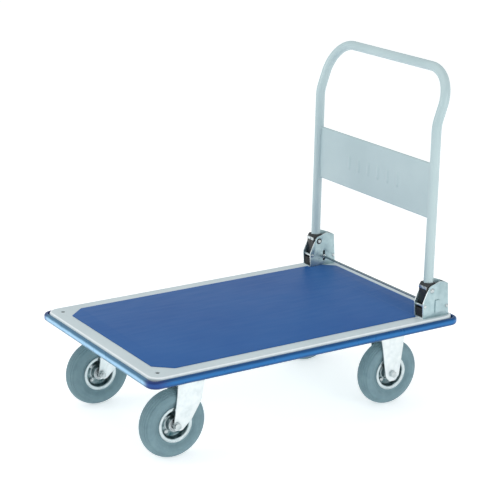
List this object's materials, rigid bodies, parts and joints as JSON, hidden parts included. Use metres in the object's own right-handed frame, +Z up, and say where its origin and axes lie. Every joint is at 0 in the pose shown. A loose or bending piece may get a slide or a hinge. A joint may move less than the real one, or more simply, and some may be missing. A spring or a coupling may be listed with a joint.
{
  "type": "folding platform cart",
  "caption": "Flat-deck platform cart with blue mat and bumper, fold-down tube handle with lock bar, swivel front casters and rigid rear casters.",
  "frame": {"origin": "on the floor, under the centre of the platform", "axes": "+Z up, +Y towards the handle end, +X to the right as seen from the front; left is -X and right is +X"},
  "size_m": [0.614, 0.92, 0.9036],
  "materials": {
    "deck_paint": "satin powder coat",
    "mat_pvc": "smooth calendered sheet",
    "bumper_pvc": "glossy extrusion",
    "handle_paint": "satin powder coat",
    "bracket_zinc": "bright zinc plate",
    "black_nylon": "moulded",
    "black_rubber": "moulded",
    "tyre_rubber": "moulded grey rubber",
    "rim_zinc": "bright zinc plate",
    "fork_zinc": "bright zinc plate",
    "bar_steel": "zinc plate",
    "bearing_steel": "ground",
    "spring_steel": "drawn wire",
    "fastener_zinc": "zinc plate"
  },
  "bodies": {
    "platform": {"deck_panel": "deck_paint", "deck_mat": "mat_pvc", "bumper": "bumper_pvc", "front_channel": "deck_paint", "rear_channel": "deck_paint", "long_ribs": "deck_paint", "bracket_left": "bracket_zinc", "bracket_right": "bracket_zinc", "cross_pins": "fastener_zinc", "stop_blocks": "black_rubber", "pivot_pins": "fastener_zinc", "pivot_bushes": "black_nylon", "platform_bolts": "fastener_zinc", "platform_nuts": "fastener_zinc", "lock_springs": "spring_steel", "swivel_plate_left": "fork_zinc", "swivel_plate_right": "fork_zinc", "kingpins": "fastener_zinc", "swivel_balls": "bearing_steel", "rigid_fork_left": "fork_zinc", "rigid_fork_right": "fork_zinc", "rear_axles": "fastener_zinc", "rear_sleeves": "bearing_steel", "rear_axle_nuts": "fastener_zinc"},
    "lock": {"lock_bar": "bar_steel", "lock_bar_clips": "fastener_zinc"},
    "handle": {"handle_tube": "handle_paint", "handle_panel": "handle_paint", "knuckle_left": "black_nylon", "knuckle_right": "black_nylon", "knuckle_straps": "fastener_zinc", "knuckle_rivets": "fastener_zinc"},
    "swivel_left": {"swivel_fork_left": "fork_zinc", "front_axle_left": "fastener_zinc", "front_sleeve_left": "bearing_steel", "front_axle_nut_left": "fastener_zinc"},
    "swivel_right": {"swivel_fork_right": "fork_zinc", "front_axle_right": "fastener_zinc", "front_sleeve_right": "bearing_steel", "front_axle_nut_right": "fastener_zinc"},
    "wheel_front_left": {"tyre_front_left": "tyre_rubber", "rim_outer_front_left": "rim_zinc", "rim_inner_front_left": "rim_zinc", "rim_bolts_front_left": "fastener_zinc", "bearings_front_left": "bearing_steel"},
    "wheel_front_right": {"tyre_front_right": "tyre_rubber", "rim_outer_front_right": "rim_zinc", "rim_inner_front_right": "rim_zinc", "rim_bolts_front_right": "fastener_zinc", "bearings_front_right": "bearing_steel"},
    "wheel_rear_left": {"tyre_rear_left": "tyre_rubber", "rim_outer_rear_left": "rim_zinc", "rim_inner_rear_left": "rim_zinc", "rim_bolts_rear_left": "fastener_zinc", "bearings_rear_left": "bearing_steel"},
    "wheel_rear_right": {"tyre_rear_right": "tyre_rubber", "rim_outer_rear_right": "rim_zinc", "rim_inner_rear_right": "rim_zinc", "rim_bolts_rear_right": "fastener_zinc", "bearings_rear_right": "bearing_steel"}
  },
  "joints": [
    {"name": "handle_fold", "type": "hinge", "parent": "platform", "child": "handle", "pos_m": [0, 0.3815, 0.324], "axis": [1, 0, 0], "range_deg": [0, 98]},
    {"name": "lock_press", "type": "slide", "parent": "platform", "child": "lock", "axis": [0, 0, 1], "range_m": [-0.009, 0.015], "stiffness_N_per_m": 1500, "springref_m": 0.0015, "deforming": ["lock_springs"]},
    {"name": "swivel_left_turn", "type": "hinge", "parent": "platform", "child": "swivel_left", "pos_m": [-0.204, -0.308, 0.2], "axis": [0, 0, 1], "continuous": true},
    {"name": "swivel_right_turn", "type": "hinge", "parent": "platform", "child": "swivel_right", "pos_m": [0.204, -0.308, 0.2], "axis": [0, 0, 1], "continuous": true},
    {"name": "wheel_front_left_spin", "type": "hinge", "parent": "swivel_left", "child": "wheel_front_left", "pos_m": [-0.204, -0.35, 0.089], "axis": [1, 0, 0], "continuous": true},
    {"name": "wheel_front_right_spin", "type": "hinge", "parent": "swivel_right", "child": "wheel_front_right", "pos_m": [0.204, -0.35, 0.089], "axis": [1, 0, 0], "continuous": true},
    {"name": "wheel_rear_left_spin", "type": "hinge", "parent": "platform", "child": "wheel_rear_left", "pos_m": [-0.192, 0.307, 0.089], "axis": [1, 0, 0], "continuous": true},
    {"name": "wheel_rear_right_spin", "type": "hinge", "parent": "platform", "child": "wheel_rear_right", "pos_m": [0.192, 0.307, 0.089], "axis": [1, 0, 0], "continuous": true}
  ]
}
